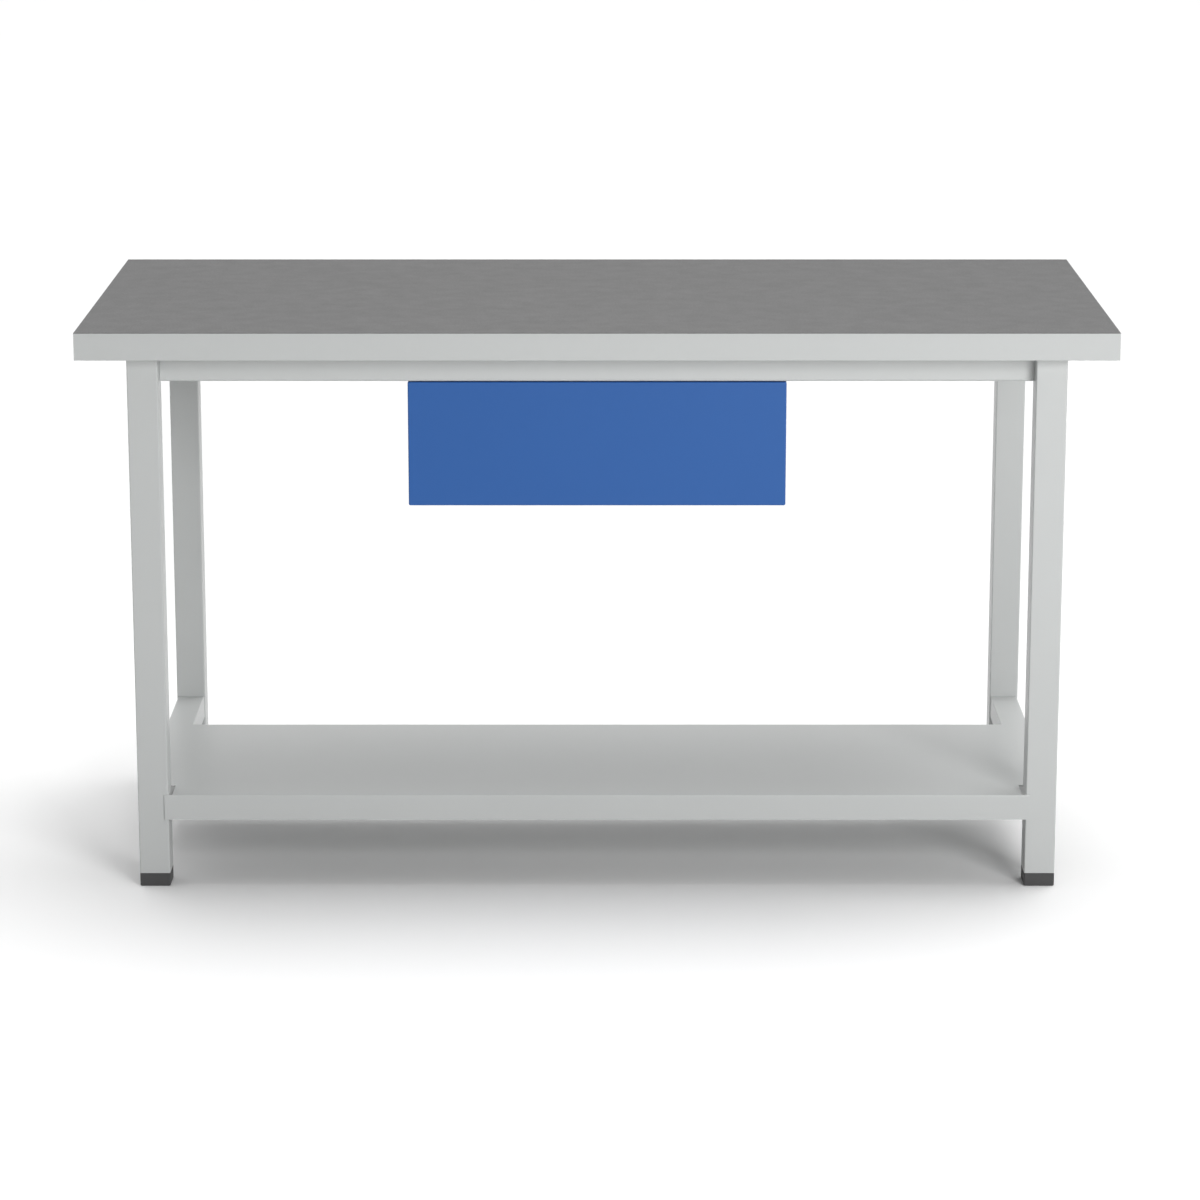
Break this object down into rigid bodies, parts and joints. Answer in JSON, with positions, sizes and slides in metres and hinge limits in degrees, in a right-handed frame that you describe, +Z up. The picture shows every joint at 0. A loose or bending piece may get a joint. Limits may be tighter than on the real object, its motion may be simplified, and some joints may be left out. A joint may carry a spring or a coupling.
{
  "type": "assembly table",
  "caption": "Steel-framed workshop assembly table with a grey laminated board, a blue ball-slide drawer hung under it and a half-depth sheet-steel shelf between the legs.",
  "frame": {"origin": "on the floor, under the middle of the board", "axes": "+X along the table to the right as seen from the front, +Y to the rear, +Z up"},
  "size_m": [1.5, 0.7, 0.84],
  "materials": {
    "worktop_laminate": "grey laminate, matt, fine grain",
    "board_core": "pressed chipboard",
    "board_backing": "grey backing sheet",
    "edge_band": "light-grey edging, satin",
    "grey_coat": "light-grey powder coat, fine texture",
    "blue_coat": "blue powder coat, satin",
    "zinc_steel": "bright zinc plate",
    "foot_plastic": "dark grey moulded plastic",
    "buffer_rubber": "black rubber"
  },
  "bodies": {
    "frame": {"worktop_core": "board_core", "worktop_backing": "board_backing", "worktop_surface": "worktop_laminate", "edge_band_front": "edge_band", "edge_band_rear": "edge_band", "edge_band_left": "edge_band", "edge_band_right": "edge_band", "leg_front_left": "grey_coat", "leg_front_right": "grey_coat", "leg_rear_left": "grey_coat", "leg_rear_right": "grey_coat", "foot_front_left": "foot_plastic", "foot_front_right": "foot_plastic", "foot_rear_left": "foot_plastic", "foot_rear_right": "foot_plastic", "top_rail_front": "grey_coat", "top_rail_rear": "grey_coat", "top_rail_left": "grey_coat", "top_rail_right": "grey_coat", "lower_rail_left": "grey_coat", "lower_rail_right": "grey_coat", "shelf": "grey_coat", "rail_bolt_front_left": "zinc_steel", "rail_bolt_front_right": "zinc_steel", "rail_bolt_rear_left": "zinc_steel", "rail_bolt_rear_right": "zinc_steel", "board_screw_front_left": "zinc_steel", "board_screw_front_right": "zinc_steel", "board_screw_rear_left": "zinc_steel", "board_screw_rear_right": "zinc_steel", "board_screw_middle_left": "zinc_steel", "board_screw_middle_right": "zinc_steel", "hanger_screw_front_left": "zinc_steel", "hanger_screw_front_right": "zinc_steel", "hanger_screw_rear_left": "zinc_steel", "hanger_screw_rear_right": "zinc_steel", "drawer_hanger_left": "grey_coat", "drawer_hanger_right": "grey_coat", "drawer_hanger_back": "grey_coat", "slide_outer_left": "zinc_steel", "slide_outer_right": "zinc_steel"},
    "drawer": {"drawer_front": "blue_coat", "drawer_inner_front": "grey_coat", "drawer_tub": "grey_coat", "drawer_back": "grey_coat", "front_screw_lower_left": "zinc_steel", "front_screw_lower_right": "zinc_steel", "front_screw_upper_left": "zinc_steel", "front_screw_upper_right": "zinc_steel", "drawer_buffer_left": "buffer_rubber", "drawer_buffer_right": "buffer_rubber", "slide_inner_left": "zinc_steel", "slide_inner_right": "zinc_steel"},
    "middle_left": {"slide_middle_left": "zinc_steel"},
    "middle_right": {"slide_middle_right": "zinc_steel"},
    "outer_cage_left": {"slide_outer_cage_left": "zinc_steel"},
    "outer_cage_right": {"slide_outer_cage_right": "zinc_steel"},
    "inner_cage_left": {"slide_inner_cage_left": "zinc_steel"},
    "inner_cage_right": {"slide_inner_cage_right": "zinc_steel"}
  },
  "joints": [
    {"name": "drawer_slide", "type": "slide", "parent": "frame", "child": "drawer", "axis": [0, -1, 0], "range_m": [0, 0.46]},
    {"name": "middle_left_slide", "type": "slide", "parent": "frame", "child": "middle_left", "axis": [0, -1, 0], "range_m": [0, 0.23]},
    {"name": "middle_right_slide", "type": "slide", "parent": "frame", "child": "middle_right", "axis": [0, -1, 0], "range_m": [0, 0.23]},
    {"name": "outer_cage_left_slide", "type": "slide", "parent": "frame", "child": "outer_cage_left", "axis": [0, -1, 0], "range_m": [0, 0.115]},
    {"name": "outer_cage_right_slide", "type": "slide", "parent": "frame", "child": "outer_cage_right", "axis": [0, -1, 0], "range_m": [0, 0.115]},
    {"name": "inner_cage_left_slide", "type": "slide", "parent": "frame", "child": "inner_cage_left", "axis": [0, -1, 0], "range_m": [0, 0.345]},
    {"name": "inner_cage_right_slide", "type": "slide", "parent": "frame", "child": "inner_cage_right", "axis": [0, -1, 0], "range_m": [0, 0.345]}
  ],
  "couplings": [
    {"joint": "middle_left_slide", "follows": "drawer_slide", "ratio": 0.5},
    {"joint": "middle_right_slide", "follows": "drawer_slide", "ratio": 0.5},
    {"joint": "outer_cage_left_slide", "follows": "drawer_slide", "ratio": 0.25},
    {"joint": "outer_cage_right_slide", "follows": "drawer_slide", "ratio": 0.25},
    {"joint": "inner_cage_left_slide", "follows": "drawer_slide", "ratio": 0.75},
    {"joint": "inner_cage_right_slide", "follows": "drawer_slide", "ratio": 0.75}
  ]
}
